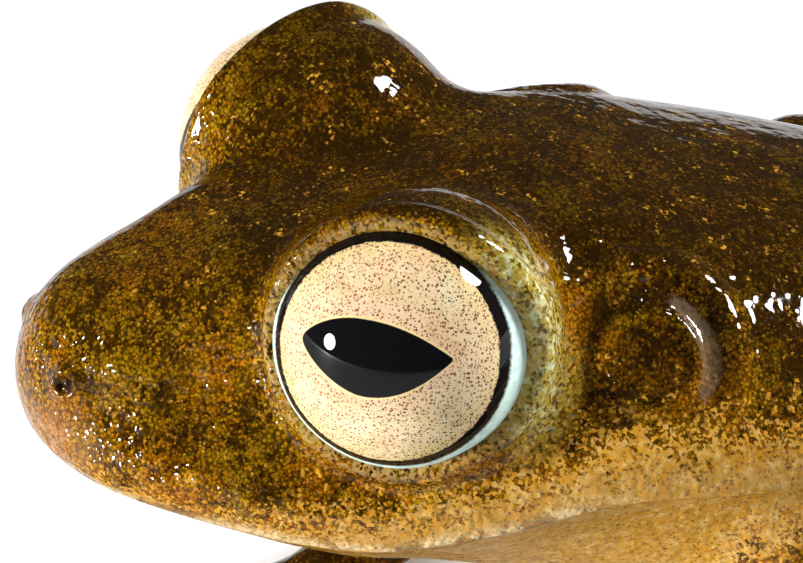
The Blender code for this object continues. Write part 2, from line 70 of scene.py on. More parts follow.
# Line of the mouth under the eye centres, going back from the snout
MOUTH_Y = [-6.0, -4.5, -3.3, -2.2, -1.2, -0.2, 1.0, 2.2, 3.4, 4.6, 8.0]
MOUTH_Z = [-3.16, -3.09, -3.17, -3.29, -3.30, -3.12, -2.86, -2.54, -2.38, -2.40, -2.6]
# Half width and reach forward of the head at each height above the line of the mouth
HEAD_LEVEL = [-3.0, -2.2, -1.5, -0.8, -0.1, 0.1, 0.7, 1.4, 2.1, 2.7, 3.3, 4.2]
HEAD_HALF = [1.6, 2.75, 3.55, 4.3, 5.0, 5.30, 5.20, 4.62, 3.98, 3.45, 3.10, 2.8]
HEAD_REACH = [4.4, 6.4, 7.6, 8.6, 9.80, 10.03, 10.38, 10.50, 10.42, 10.24, 9.92, 9.45]
# Top of the head over the eye centres, and the chin under them, going back from the snout
TOP_Y = [-6.4, -5.4, -4.5, -3.6, -2.5, -1.2, 0.0, 2.0, 4.0, 6.0, 8.3, 12.0]
TOP_Z = [-0.85, -0.12, 0.14, 0.40, 0.82, 1.02, 1.18, 1.42, 1.02, 0.10, -0.85, -2.0]
CHIN_Y = [-6.0, -4.5, -3.0, -1.0, 2.0, 5.0, 9.0]
CHIN_Z = [-3.5, -3.85, -4.3, -5.0, -5.65, -6.0, -6.1]

# How much the crown and the chin curve down and up towards the sides, and how round their edges are
CROWN_CURVE = 0.03
CHIN_CURVE = 0.06
CROWN_EDGE = 1.0
CHIN_EDGE = 1.2
BULGE_BLEND = 0.7
HEAD_BACK = 4.5
# Shallow hollows of the side of the snout: centre, spread and depth
HOLLOWS = [(np.array([2.5, -3.7, 9.5]), 0.85, 0.36), (np.array([2.0, -4.85, 9.0]), 0.55, 0.13)]

# Trunk: centre and half sizes of each swelling
CHEST = (np.array([0, 8.4, 6.6]), (5.1, 6.2, 3.5))
BELLY = (np.array([0, 13.6, 5.1]), (5.5, 6.6, 3.95))
PELVIS = (np.array([0, 19.4, 3.8]), (3.6, 5.2, 3.95))
NECK = (np.array([0, 5.0, 7.6]), (4.75, 4.6, 3.1))
VENT = (np.array([0, 24.2, 4.5]), (0.7, 0.8, 0.5))

# How softly neighbouring forms flow into each other
TRUNK_BLEND = 2.0
NECK_BLEND = 1.5
VENT_BLEND = 0.6
HEAD_BLEND = 1.6
ROOT_BLEND = 0.8
ELBOW_BLEND = 0.5
WRIST_BLEND = 0.4
KNEE_BLEND = 0.35
HEEL_BLEND = 0.4
DIGIT_BLEND = 0.3

# Limbs: joints of each side, both given as if on the left
POSE = {
    "left": dict(shoulder=(3.9, 6.2, 6.3), elbow=(6.9, 6.6, 3.6), wrist=(5.3, 0.5, 1.2),
                 hip=(1.9, 21.0, 4.6), knee=(10.2, 10.6, 5.0), heel=(6.6, 24.6, 1.05),
                 ankle=(9.0, 17.4, 0.85), hand_turn=12.0, foot_turn=14.0),
    "right": dict(shoulder=(3.9, 6.2, 6.3), elbow=(6.8, 6.3, 3.7), wrist=(4.0, 0.3, 1.6),
                  hip=(1.9, 21.0, 4.6), knee=(10.2, 10.8, 4.5), heel=(6.6, 24.6, 1.05),
                  ankle=(9.0, 17.4, 0.85), hand_turn=-8.0, foot_turn=14.0),
}
SIDES = {"left": 1.0, "right": -1.0}
# Radius along each limb bone, from its root to its end
LIMB_RADII = {
    "upper_arm": (1.7, 1.35, 1.05, 0.92),
    "forearm": (0.95, 1.15, 1.0, 0.72, 0.62),
    "thigh": (2.3, 2.25, 1.95, 1.55, 1.25),
    "shank": (1.15, 1.45, 1.35, 0.95, 0.82),
    "tarsus": (0.85, 0.72, 0.66, 0.72),
}
# Digits: angle from the line of the hand or foot, length, radius of the disc
FINGERS = [(-40.0, 3.2, 0.52), (-14.0, 3.9, 0.64), (10.0, 5.6, 0.84), (38.0, 4.4, 0.80)]
TOES = [(-34.0, 3.2, 0.46), (-20.0, 4.8, 0.56), (-8.0, 7.2, 0.64), (3.0, 11.2, 0.76), (16.0, 9.2, 0.70)]
DIGIT_RADIUS = 0.35


def unit(v):
    v = np.asarray(v, float)
    return v / np.linalg.norm(v)


def smin(a, b, k):
    h = np.clip(0.5 + 0.5 * (b - a) / k, 0.0, 1.0)
    return b + (a - b) * h - k * h * (1.0 - h)


def smax(a, b, k):
    return -smin(-a, -b, k)


def curve(x, xs, ys):
    """A smooth line through the named points, read at x."""
    xs = np.asarray(xs, float)
    ys = np.asarray(ys, float)
    d = np.diff(ys) / np.diff(xs)
    between = np.where(d[:-1] * d[1:] > 0, 2 * d[:-1] * d[1:] / (d[:-1] + d[1:] + 1e-30), 0.0)
    m = np.concatenate([d[:1], between, d[-1:]])
    x = np.clip(x, xs[0], xs[-1])
    i = np.clip(np.searchsorted(xs, x) - 1, 0, len(xs) - 2)
    h = xs[i + 1] - xs[i]
    t = (x - xs[i]) / h
    s = t * t * (3 - 2 * t)
    return (1 - s) * ys[i] + s * ys[i + 1] + h * t * (1 - t) * ((1 - t) * m[i] - t * m[i + 1])


def ball(p, c, r):
    return np.linalg.norm(p - c, axis=1) - r


def ellipsoid(p, c, radii, axes=None):
    q = p - c
    if axes is not None:
        q = q @ np.asarray(axes).T
    r = np.asarray(radii, float)
    k0 = np.linalg.norm(q / r, axis=1)
    k1 = np.linalg.norm(q / r**2, axis=1)
    return k0 * (k0 - 1.0) / np.maximum(k1, 1e-9)


def limb(p, a, b, radii, flat=None):
    """A limb from a to b whose radius follows the list at even steps; flat squeezes its height."""
    a = np.asarray(a, float)
    b = np.asarray(b, float)
    ab = b - a
    q = p - a
    t = np.clip(q @ ab / (ab @ ab), 0.0, 1.0)
    r = curve(t, np.linspace(0, 1, len(radii)), radii)
    d = q - t[:, None] * ab
    if flat is not None:
        n = np.array([0, 0, 1.0])
        n = unit(n - ab * (n @ ab) / (ab @ ab))
        d = d + np.outer(d @ n, n) * (1.0 / flat - 1.0)
    return np.linalg.norm(d, axis=1) - r


def nearby(form, p, a, b, reach):
    """A form near the line from a to b, and elsewhere the plain distance to that neighbourhood."""
    a = np.asarray(a, float)
    b = np.asarray(b, float)
    out = np.linalg.norm(p - (a + b) / 2, axis=1) - np.linalg.norm(b - a) / 2 - reach
    close = out < 1.5
    if close.any():
        out[close] = form(p[close])
    return out


def fold(q):
    """Fold the right side of the body onto the left."""
    p = q.copy()
    p[:, 0] = np.abs(p[:, 0])
    return p


def on_left(q, side):
    p = q.copy()
    p[:, 0] *= SIDES[side]
    return p


def mouth_level(p):
    """Height above the line of the mouth."""
    return p[:, 2] - EYE_HEIGHT - curve(p[:, 1], MOUTH_Y, MOUTH_Z)


def head_form(p):
    level = mouth_level(p)
    a = curve(level, HEAD_LEVEL, HEAD_HALF)
    t = p[:, 1] - JAW_ANGLE_Y
    b = np.where(t > 0, HEAD_BACK, curve(level, HEAD_LEVEL, HEAD_REACH))
    x = p[:, 0]
    k0 = np.sqrt((x / a) ** 2 + (t / b) ** 2)
    k1 = np.sqrt((x / a**2) ** 2 + (t / b**2) ** 2)
    wall = k0 * (k0 - 1.0) / np.maximum(k1, 1e-6)
    top = p[:, 2] - EYE_HEIGHT - curve(p[:, 1], TOP_Y, TOP_Z) + CROWN_CURVE * x**2
    under = curve(p[:, 1], CHIN_Y, CHIN_Z) + CHIN_CURVE * x**2 - (p[:, 2] - EYE_HEIGHT)
    d = smax(smax(wall, top, CROWN_EDGE), under, CHIN_EDGE)
    return smin(d, ball(p, EYE_BULGE, EYE_BULGE_RADIUS), BULGE_BLEND)


def trunk_form(p):
    d = smin(ellipsoid(p, *CHEST), ellipsoid(p, *BELLY), TRUNK_BLEND)
    d = smin(d, ellipsoid(p, *PELVIS), TRUNK_BLEND)
    d = smin(d, ellipsoid(p, *NECK), NECK_BLEND)
    return smin(d, ellipsoid(p, *VENT), VENT_BLEND)


def body_plain(q):
    p = fold(q)
    head = nearby(head_form, p, (0, -1, 8.5), (0, 3, 8.5), 7.6)
    trunk = nearby(trunk_form, p, (0, 8, 6.0), (0, 20, 5.0), 7.2)
    return smin(head, trunk, HEAD_BLEND)


def slope(form, p, h=0.01):
    """A form's value and gradient at each point."""
    g = np.empty_like(p)
    for k in range(3):
        e = np.zeros(3)
        e[k] = h
        g[:, k] = (form(p + e) - form(p - e)) / (2 * h)
    return form(p), g


def slide_to(form, p, steps=12, most=10.0):
    """Move points along the gradient onto the zero level of a form."""
    p = np.array(p, float).reshape(-1, 3)
    for _ in range(steps):
        f, g = slope(form, p)
        move = g * (f / np.maximum((g * g).sum(1), 0.2))[:, None]
        size = np.linalg.norm(move, axis=1)
        p = p - move * np.minimum(1.0, most / np.maximum(size, 1e-9))[:, None]
    return p


# Features set on the skin of the plain body
NOSTRIL = slide_to(body_plain, (1.16, -5.38, EYE_HEIGHT - 1.20))[0]
NOSTRIL_HOLE = NOSTRIL + [0.12, -0.06, 0.03]
TYMPANUM = slide_to(body_plain, (4.03, 3.38, EYE_HEIGHT - 0.52))[0]
TYMPANUM_OUT = unit(slope(body_plain, TYMPANUM[None])[1][0])
FOLD_PLACES = np.array([(3.15, 1.9, 10.8), (2.85, 3.3, 11.0), (3.1, 4.35, 10.85), (3.8, 4.8, 10.35),
                        (4.5, 4.75, 9.7), (5.0, 4.4, 9.0)])
FOLD_STEPS = 16
FOLD = slide_to(body_plain, np.stack([curve(np.linspace(0, 5, FOLD_STEPS), np.arange(6), FOLD_PLACES[:, k])
                                      for k in range(3)], 1))
FOLD = FOLD - 0.17 * np.array([unit(g) for g in slope(body_plain, FOLD)[1]])
FOLD_RADII = 0.22 * np.sin(math.pi * (np.arange(FOLD_STEPS) + 0.4) / (FOLD_STEPS - 0.2)) ** 0.5


def eye_angle(p):
    """Distance from the eyeball's centre, and angle from the line that the eye looks along."""
    q = p - EYEBALL
    r = np.linalg.norm(q, axis=1)
    return r, np.arccos(np.clip(q @ EYE_AXIS / np.maximum(r, 1e-6), -1, 1))


def rise(x, low, high):
    """0 at low, 1 at high, smooth between them and level beyond."""
    t = np.clip((x - low) / (high - low), 0, 1)
    return t * t * (3 - 2 * t)


def round_the_eye(p):
    """Place along and off the eye's axis, how far it is towards the brow and the back, and the lid's edge."""
    q = p - EYEBALL
    up = unit(np.array([0, 0, 1.0]) - EYE_AXIS * EYE_AXIS[2])
    back = np.cross(EYE_AXIS, up)
    back = back * np.sign(back[1])
    along = q @ EYE_AXIS
    u = q @ up
    w = q @ back
    rho = np.sqrt(u * u + w * w) + 1e-9
    high = u / rho
    rear = w / rho
    edge = LID_ANGLE - math.radians(6.5) * rise(high, -0.1, 0.65) + math.radians(7.0) * rise(rear, 0.5, 1.0)
    return along, rho, high, rear, edge


def lid_ring(p):
    """The rolled edge of the lids: a thick brow above, thin below and in front."""
    along, rho, high, rear, edge = round_the_eye(p)
    thick = 0.16 + 0.06 * rise(high, -0.2, 1.0) + 0.06 * rear
    reach = 2.17 + 0.10 * rise(high, -0.2, 1.0) + 0.05 * rear
    angle = edge + thick / reach
    return np.sqrt((rho - reach * np.sin(angle)) ** 2 + (along - reach * np.cos(angle)) ** 2) - thick


def eye_opening(p):
    """Negative between the lids, over the eyeball."""
    r, angle = eye_angle(p)
    edge = round_the_eye(p)[4]
    return np.maximum((angle - edge) * np.maximum(r, 0.5), 1.9 - r)


def tympanum_ring(p):
    q = p - TYMPANUM
    along = q @ TYMPANUM_OUT
    rho = np.linalg.norm(q - np.outer(along, TYMPANUM_OUT), axis=1)
    return np.sqrt((rho - TYMPANUM_RADIUS) ** 2 + (along + 0.05) ** 2) - 0.09


def head_marks(p, d):
    """Hollows, lids, tympanum, the fold over it and the nostril, worked into the body's form d."""
    for centre, spread, depth in HOLLOWS:
        d = d + depth * np.exp(-((p - centre) ** 2).sum(1) / spread**2)
    d = smin(d, ball(p, EYEBALL, EYEBALL_RADIUS + 0.07), 0.3)
    d = smin(d, lid_ring(p), 0.25)
    d = smin(d, tympanum_ring(p), 0.2)
    for k in range(FOLD_STEPS - 1):
        d = smin(d, limb(p, FOLD[k], FOLD[k + 1], FOLD_RADII[k:k + 2]), 0.3)
    d = smin(d, ball(p, NOSTRIL + [-0.06, 0.05, -0.03], 0.22), 0.3)
    d = smax(d, -ball(p, NOSTRIL_HOLE, 0.17), 0.06)
    return smin(d, ball(p, NOSTRIL + [0.02, 0.20, -0.03], 0.17), 0.08)


def body_form(q):
    p = fold(q)
    d = body_plain(p)
    close = (p[:, 1] < 7.0) & (np.abs(d) < 1.2)
    if close.any():
        d[close] = head_marks(p[close], d[close])
    return d


def turn(v, degrees):
    c = math.cos(math.radians(degrees))
    s = math.sin(math.radians(degrees))
    return np.array([v[0] * c - v[1] * s, v[0] * s + v[1] * c, v[2]])


def level_with(v, z):
    return np.array([v[0], v[1], z])


def digit(p, root, direction, length, disc, root_z, width=DIGIT_RADIUS):
    """A slender jointed digit that ends in a flat disc."""
    a = level_with(root, root_z)
    tip = level_with(a + direction * length, 0.30)
    knuckle = level_with(a + direction * length * 0.5, max(0.42, (root_z + 0.16) * 0.55))
    axes = np.array([np.cross((0, 0, 1.0), direction), direction, (0, 0, 1.0)])

    def form(q):
        d = limb(q, a, knuckle, (width, width * 0.86, width))
        d = smin(d, limb(q, knuckle, tip, (width, width * 0.84, width * 0.8)), 0.15)
        return smin(d, ellipsoid(q, tip + direction * 0.1, (disc, disc * 0.9, 0.36), axes), 0.25)

    return nearby(form, p, a, tip, 1.3)


def limb_line(side, name):
    pose = POSE[side]
    ends = {"upper_arm": ("shoulder", "elbow"), "forearm": ("elbow", "wrist"), "thigh": ("hip", "knee"),
            "shank": ("knee", "heel"), "tarsus": ("heel", "ankle")}[name]
    return [np.array(pose[e]) for e in ends]


def hand_line(side):
    return turn(np.array([0.0, -1.0, 0.0]), POSE[side]["hand_turn"])


def foot_line(side):
    heel, ankle = limb_line(side, "tarsus")
    return turn(unit((ankle - heel) * [1, 1, 0]), POSE[side]["foot_turn"])


def palm_point(side):
    return level_with(np.array(POSE[side]["wrist"]) + hand_line(side) * 2.1, 0.62)


def sole_point(side):
    return level_with(np.array(POSE[side]["ankle"]) + foot_line(side) * 2.2, 0.55)


def bone(q, side, name):
    """One limb segment, with q already on the left."""
    a, b = limb_line(side, name)
    radii = LIMB_RADII[name]
    return nearby(lambda p: limb(p, a, b, radii), q, a, b, max(radii))


def hand_form(q, side):
    wrist = np.array(POSE[side]["wrist"])
    palm = palm_point(side)
    ahead = hand_line(side)

    def form(p):
        d = limb(p, wrist, palm, (0.66, 0.95, 1.05), flat=0.62)
        for angle, length, disc in FINGERS:
            out = turn(ahead, angle)
            d = smin(d, digit(p, palm + out * 0.25, out, length, disc, 0.55), DIGIT_BLEND)
        return d

    return nearby(form, q, palm, palm + ahead * 2.0, 7.5)


def foot_form(q, side):
    ankle = np.array(POSE[side]["ankle"])
    sole = sole_point(side)
    ahead = foot_line(side)

    def form(p):
        d = limb(p, ankle, sole, (0.72, 0.95, 1.15), flat=0.6)
        for angle, length, disc in TOES:
            out = turn(ahead, angle)
            root = sole + out * 0.25 + turn(ahead, 90) * math.sin(math.radians(angle)) * 0.9
            d = smin(d, digit(p, root, out, length, disc, 0.5), DIGIT_BLEND)
        return d

    return nearby(form, q, ankle, ankle + ahead * 14.0, 3.0)


def whole_form(q):
    """The whole skin: body, arms and legs blended at their joints, with the lids open."""
    d = body_form(q)
    for side in SIDES:
        p = on_left(q, side)
        arm = smin(bone(p, side, "upper_arm"), bone(p, side, "forearm"), ELBOW_BLEND)
        arm = smin(arm, hand_form(p, side), WRIST_BLEND)
        leg = smin(bone(p, side, "thigh"), bone(p, side, "shank"), KNEE_BLEND)
        leg = smin(leg, bone(p, side, "tarsus"), HEEL_BLEND)
        leg = smin(leg, foot_form(p, side), HEEL_BLEND)
        d = smin(smin(d, arm, ROOT_BLEND), leg, ROOT_BLEND)
    p = fold(q)
    close = (ball(p, EYEBALL, 4.0) < 0) & (np.abs(d) < 1.5)
    if close.any():
        d[close] = smax(d[close], -eye_opening(p[close]), LID_EDGE)
    close = (p[:, 1] < 5.6) & (np.abs(d) < 0.6)
    if close.any():
        d[close] = d[close] + mouth_crease(p[close])
    return np.maximum(d, -q[:, 2])


def mouth_crease(p):
    """A thin closed line between the lips, ending under the ear."""
    level = mouth_level(p)
    fade = np.clip((CREASE_END - p[:, 1]) / 1.4, 0, 1)
    return fade * CREASE_DEPTH * np.exp(-(level / CREASE_WIDTH) ** 2)


def skin_net(form, low, high, step):
    """Quads over form = 0: one corner in each grid cell it crosses, one face on each crossed edge."""
    low = np.asarray(low, float)
    size = step * BLOCK
    count = np.ceil((np.asarray(high, float) - low) / size).astype(int)
    centre = np.stack(np.meshgrid(*[low[k] + size * (np.arange(count[k]) + 0.5) for k in range(3)],
                                  indexing="ij"), -1).reshape(-1, 3)
    index = np.stack(np.meshgrid(*[np.arange(count[k]) for k in range(3)], indexing="ij"), -1).reshape(-1, 3)
    live = np.abs(form(centre)) < size * 1.35
    index = index[live] * BLOCK
    wide = count * BLOCK + 1
    stride = np.array([wide[1] * wide[2], wide[2], 1], np.int64)
    grid = np.stack(np.meshgrid(*[np.arange(BLOCK + 1)] * 3, indexing="ij"), -1).reshape(-1, 3)
    ids = []
    points = []
    signs = []
    for start in range(0, len(index), BATCH):
        at = index[start:start + BATCH, None, :] + grid[None]
        value = form((low + at.reshape(-1, 3) * step)).reshape(len(at), BLOCK + 1, BLOCK + 1, BLOCK + 1)
        value = np.where(value == 0, 1e-9, value)
        at = at.reshape(len(at), BLOCK + 1, BLOCK + 1, BLOCK + 1, 3)
        for axis in range(3):
            first = [slice(None)] * 4
            second = [slice(None)] * 4
            first[axis + 1] = slice(0, BLOCK)
            second[axis + 1] = slice(1, BLOCK + 1)
            a = value[tuple(first)]
            b = value[tuple(second)]
            hit = (a < 0) != (b < 0)
            cell = at[tuple(first)][hit].astype(np.int64)
            t = a[hit] / (a[hit] - b[hit])
            point = low + cell * step
            point[:, axis] += t * step
            ids.append((cell @ stride) * 3 + axis)
            points.append(point)
            signs.append(a[hit] < 0)
    ids, keep = np.unique(np.concatenate(ids), return_index=True)
    points = np.concatenate(points)[keep]
    signs = np.concatenate(signs)[keep]
    axis = (ids % 3).astype(int)
    base = ids // 3
    corners = np.empty((len(ids), 4), np.int64)
    for k in range(3):
        u = stride[(k + 1) % 3]
        v = stride[(k + 2) % 3]
        rows = axis == k
        corners[rows] = base[rows, None] - np.array([0, u, u + v, v])
    cells, face = np.unique(corners, return_inverse=True)
    face = face.reshape(-1, 4)
    total = np.zeros((len(cells), 3))
    number = np.zeros(len(cells))
    for k in range(4):
        np.add.at(total, face[:, k], points)
        np.add.at(number, face[:, k], 1.0)
    face = np.where(signs[:, None], face, face[:, ::-1])
    return total / number[:, None], face


def split_quads(verts, face, chosen):
    """Each chosen quad becomes four; neighbours that touch them become triangles."""
    pairs = np.stack([face, np.roll(face, -1, 1)], -1)
    key = np.sort(pairs, -1)
    key = key[..., 0].astype(np.int64) * len(verts) + key[..., 1]
    cutting = np.unique(key[chosen])
    middle = (verts[cutting // len(verts)] + verts[cutting % len(verts)]) / 2
    centre = verts[face[chosen]].mean(1)
    edge_at = len(verts) + np.searchsorted(cutting, key)
    split = np.isin(key, cutting)
    centre_at = len(verts) + len(cutting) + np.arange(chosen.sum())
    out = []
    f = face[chosen]
    e = edge_at[chosen]
    for k in range(4):
        out.append(np.stack([f[:, k], e[:, k], centre_at, e[:, k - 1]], 1))
    rest = ~chosen
    plain = rest & ~split.any(1)
    out.append(face[plain])
    extra = []
    for i in np.nonzero(rest & split.any(1))[0]:
        ring = []
        for k in range(4):
            ring.append(int(face[i, k]))
            if split[i, k]:
                ring.append(int(edge_at[i, k]))
        extra.append(ring)
    return np.concatenate([verts, middle, centre]), np.concatenate(out), extra


def mesh_object(name, verts, faces, extra=()):
    mesh = bpy.data.meshes.new(name)
    mesh.from_pydata(((verts - MIDDLE) * MM).tolist(), [], faces.tolist() + list(extra))
    mesh.update()
    mesh.shade_smooth()
    obj = bpy.data.objects.new(name, mesh)
    bpy.context.scene.collection.objects.link(obj)
    return obj


def paint(obj, name, values):
    layer = obj.data.attributes.new(name, "FLOAT", "POINT")
    layer.data.foreach_set("value", np.asarray(values, np.float32))


class Graph:
    """Short hand for a material's node tree."""

    def __init__(self, name):
        self.mat = bpy.data.materials.new(name)
        self.mat.use_nodes = True
        self.tree = self.mat.node_tree
        self.tree.nodes.clear()
        self.out = self.node("ShaderNodeOutputMaterial")
        self.shader = self.node("ShaderNodeBsdfPrincipled")
        self.tree.links.new(self.shader.outputs[0], self.out.inputs[0])

    def node(self, kind, **values):
        n = self.tree.nodes.new(kind)
        for key, value in values.items():
            setattr(n, key, value)
        return n

    def put(self, socket, value):
        if isinstance(value, bpy.types.NodeSocket):
            self.tree.links.new(value, socket)
        elif isinstance(value, tuple) and len(value) == 3 and socket.type == "RGBA":
            socket.default_value = (*value, 1.0)
        else:
            socket.default_value = value

    def coords(self, scale=1000.0, offset=(0, 0, 0)):
        where = self.node("ShaderNodeTexCoord")
        mapping = self.node("ShaderNodeMapping")
        self.put(mapping.inputs["Vector"], where.outputs["Object"])
        mapping.inputs["Scale"].default_value = (scale, scale, scale)
        mapping.inputs["Location"].default_value = offset
        return mapping.outputs[0]

    def math(self, operation, a, b=0.0):
        n = self.node("ShaderNodeMath", operation=operation)
        self.put(n.inputs[0], a)
        self.put(n.inputs[1], b)
        return n.outputs[0]

    def times(self, a, b):
        return self.math("MULTIPLY", a, b)

    def plus(self, a, b):
        return self.math("ADD", a, b)

    def minus(self, a, b):
        return self.math("SUBTRACT", a, b)

    def power(self, a, b):
        return self.math("POWER", a, b)

    def noise(self, vector, scale, detail=2.0, rough=0.5, warp=0.0):
        n = self.node("ShaderNodeTexNoise")
        self.put(n.inputs["Vector"], vector)
        n.inputs["Scale"].default_value = scale
        n.inputs["Detail"].default_value = detail
        n.inputs["Roughness"].default_value = rough
        n.inputs["Distortion"].default_value = warp
        return n.outputs["Fac"]

    def cells(self, vector, scale, random=1.0):
        n = self.node("ShaderNodeTexVoronoi")
        self.put(n.inputs["Vector"], vector)
        n.inputs["Scale"].default_value = scale
        n.inputs["Randomness"].default_value = random
        return n

    def step(self, value, low, high, to_low=0.0, to_high=1.0, smooth=True):
        n = self.node("ShaderNodeMapRange", interpolation_type="SMOOTHSTEP" if smooth else "LINEAR")
        for k, v in enumerate((value, low, high, to_low, to_high)):
            self.put(n.inputs[k], v)
        return n.outputs[0]

    def channels(self, colour):
        n = self.node("ShaderNodeSeparateColor")
        self.put(n.inputs[0], colour)
        return n.outputs

    def mix(self, fac, a, b):
        n = self.node("ShaderNodeMix", data_type="RGBA")
        n.clamp_factor = True
        self.put(n.inputs[0], fac)
        self.put(n.inputs[6], a)
        self.put(n.inputs[7], b)
        return n.outputs[2]

    def ramp(self, value, stops):
        n = self.node("ShaderNodeValToRGB")
        while len(n.color_ramp.elements) < len(stops):
            n.color_ramp.elements.new(0.5)
        for e, (place, colour) in zip(n.color_ramp.elements, stops):
            e.position = place
            e.color = (*colour, 1.0)
        self.put(n.inputs[0], value)
        return n.outputs[0]

    def attr(self, name):
        return self.node("ShaderNodeAttribute", attribute_name=name).outputs["Fac"]

    def bump(self, height, distance, strength=1.0, normal=None):
        n = self.node("ShaderNodeBump")
        n.inputs["Strength"].default_value = strength
        n.inputs["Distance"].default_value = distance
        self.put(n.inputs["Height"], height)
        if normal is not None:
            self.put(n.inputs["Normal"], normal)
        return n.outputs[0]

    def set(self, **values):
        for key, value in values.items():
            self.put(self.shader.inputs[key.replace("_", " ")], value)
        return self.mat


# Colours of the skin
GOLD = [(0.0, (0.150, 0.055, 0.001)), (0.4, (0.260, 0.115, 0.001)), (0.75, (0.420, 0.205, 0.003)),
        (0.90, (0.400, 0.100, 0.002)), (1.0, (0.540, 0.310, 0.012))]
GROUND = [(0.0, (0.020, 0.007, 0.0005)), (0.6, (0.048, 0.019, 0.0008)), (1.0, (0.085, 0.035, 0.001))]
OLIVE_GOLD = (0.32, 0.205, 0.003)
ORANGE_GOLD = (0.36, 0.105, 0.002)
BLOTCH = (0.018, 0.008, 0.001)
CROWN_BROWN = (0.014, 0.006, 0.0003)
CREAM = [(0.30, (0.40, 0.18, 0.018)), (0.5, (0.53, 0.29, 0.050)), (0.72, (0.70, 0.47, 0.17))]
CREAM_FLECK = (0.60, 0.27, 0.012)
CREAM_DOT = (0.17, 0.055, 0.028)
BAR_BROWN = (0.030, 0.013, 0.003)
LID_DARK = (0.095, 0.060, 0.004)
LID_GOLD = (0.46, 0.35, 0.055)
LID_CREAM = (0.68, 0.70, 0.38)
LID_RIM = (0.42, 0.27, 0.085)
SNOUT_TAN = (0.40, 0.20, 0.085)
SNOUT_DOT = (0.13, 0.05, 0.02)
# Painted shade that darkens the nostril openings
NOSTRIL_SHADE = (0.010, 0.005, 0.003)
# Painted reflection of the pale surroundings on the rear rim of the ear, with darker dots
EAR_REFLECTION_GREY = (0.24, 0.16, 0.10)
EAR_DOT = (0.07, 0.035, 0.02)
LIP_CREAM = (0.74, 0.58, 0.32)
LIP_BAR = (0.085, 0.036, 0.008)
LIP_ORANGE = (0.56, 0.22, 0.02)
LIP_DOT = (0.16, 0.07, 0.02)
# Pigment cells, dots and granules to the millimetre
PIGMENT_CELLS = 19.0
DOT_CELLS = 16.0
GRANULES = 7.0
WET_DOMES = 5.5


def wavy(g, p):
    """The skin's coordinates, bent a little so that cells lie less evenly."""
    warp = g.node("ShaderNodeTexNoise")
    g.put(warp.inputs["Vector"], p)
    warp.inputs["Scale"].default_value = 9.0
    moved = g.node("ShaderNodeMix", data_type="VECTOR")
    moved.inputs[0].default_value = 0.04
    g.put(moved.inputs[4], p)
    g.put(moved.inputs[5], warp.outputs["Color"])
    return moved.outputs[1]


def back_colour(g, p, cell, tone, clump):
    """Packed pigment cells of gold, ochre and orange over dark brown, darker on the crown."""
    crown = g.attr("crown")
    patch = g.noise(p, 0.95, 3.0, 0.65)
    mottle = g.noise(p, 4.0, 3.0, 0.65)
    amount = g.plus(g.times(patch, 1.7), g.times(mottle, 0.9))
    amount = g.plus(amount, g.times(clump, 1.4))
    amount = g.minus(amount, g.plus(g.times(crown, 0.20), 1.13))
    gold_share = g.step(amount, 0.50, 1.05, 0.10, 0.98)
    is_gold = g.step(g.minus(gold_share, tone[0]), -0.08, 0.10)
    core = g.step(cell.outputs["Distance"], 0.30, 0.75, 1.0, 0.15)
    hue = g.noise(g.coords(offset=(7.7, 2.2, 4.1)), 0.8, 3.0, 0.6)
    gold = g.ramp(tone[1], GOLD)
    gold = g.mix(g.step(hue, 0.48, 0.66, 0.0, 0.45), gold, OLIVE_GOLD)
    gold = g.mix(g.step(hue, 0.52, 0.38, 0.0, 0.45), gold, ORANGE_GOLD)
    back = g.mix(g.times(is_gold, core), g.ramp(tone[2], GROUND), gold)
    blot = g.noise(g.coords(offset=(3.1, 0.7, 5.2)), 1.15, 3.0, 0.6, 0.8)
    blotch = g.step(g.plus(blot, g.times(crown, 0.03)), 0.60, 0.68)
    back = g.mix(g.times(blotch, 0.72), back, BLOTCH)
    return g.mix(g.times(crown, 0.75), back, CROWN_BROWN)


def dot_mask(g, q):
    """Small round dots of uneven size."""
    dots = g.cells(q, DOT_CELLS)
    size = g.times(g.channels(dots.outputs["Color"])[0], 0.46)
    return g.step(g.minus(dots.outputs["Distance"], size), -0.12, 0.05, 1.0, 0.0)


def pale_colour(g, p, tone, is_dot):
    """Sides of the jaw, throat and belly: cream with purple-brown dots and gold flecks."""
    cream = g.ramp(g.noise(p, 5.0, 4.0, 0.7), CREAM)
    fleck = g.step(tone[0], 0.66, 0.84)
    cream = g.mix(g.times(fleck, 0.72), cream, CREAM_FLECK)
    return g.mix(g.times(is_dot, 0.70), cream, CREAM_DOT)


def lid_colour(g, p, body, tone, clump):
    """Paler skin behind the eye and the thin rim of the lids."""
    lid = g.attr("lid_pale")
    gold = g.step(g.plus(tone[1], g.times(clump, 0.8)), 0.62, 0.92)
    near_lid = g.plus(g.noise(p, 6.0, 3.0, 0.7), g.times(lid, 0.12))
    colour = g.mix(g.step(near_lid, 0.60, 0.76), g.mix(gold, LID_DARK, LID_GOLD), LID_CREAM)
    body = g.mix(g.times(lid, 0.80), body, colour)
    rim = g.times(g.attr("lid_edge"), g.step(tone[2], 0.3, 0.6, 0.0, 0.75))
    return g.mix(rim, body, LID_RIM)


def face_colour(g, body, halftone, is_dot):
    """Tan tip of the snout, painted shade in the nostrils and a painted grey reflection on the rear edge of
    the ear.
    """
    tan = g.mix(g.times(is_dot, 0.5), SNOUT_TAN, SNOUT_DOT)
    body = g.mix(g.times(g.attr("snout_tip"), g.step(halftone, -0.25, 0.25, 0.20, 0.65)), body, tan)
    # The nostril openings are darkened with painted shade
    body = g.mix(g.attr("nostril"), body, NOSTRIL_SHADE)
    # A ragged grey crescent on the rear of the ear: a painted reflection
    ragged = g.step(g.plus(g.attr("painted_ear_reflection"), g.times(halftone, 0.35)), 0.36, 0.62)
    return g.mix(g.times(ragged, 0.50), body, g.mix(g.times(is_dot, 0.6), EAR_REFLECTION_GREY, EAR_DOT))


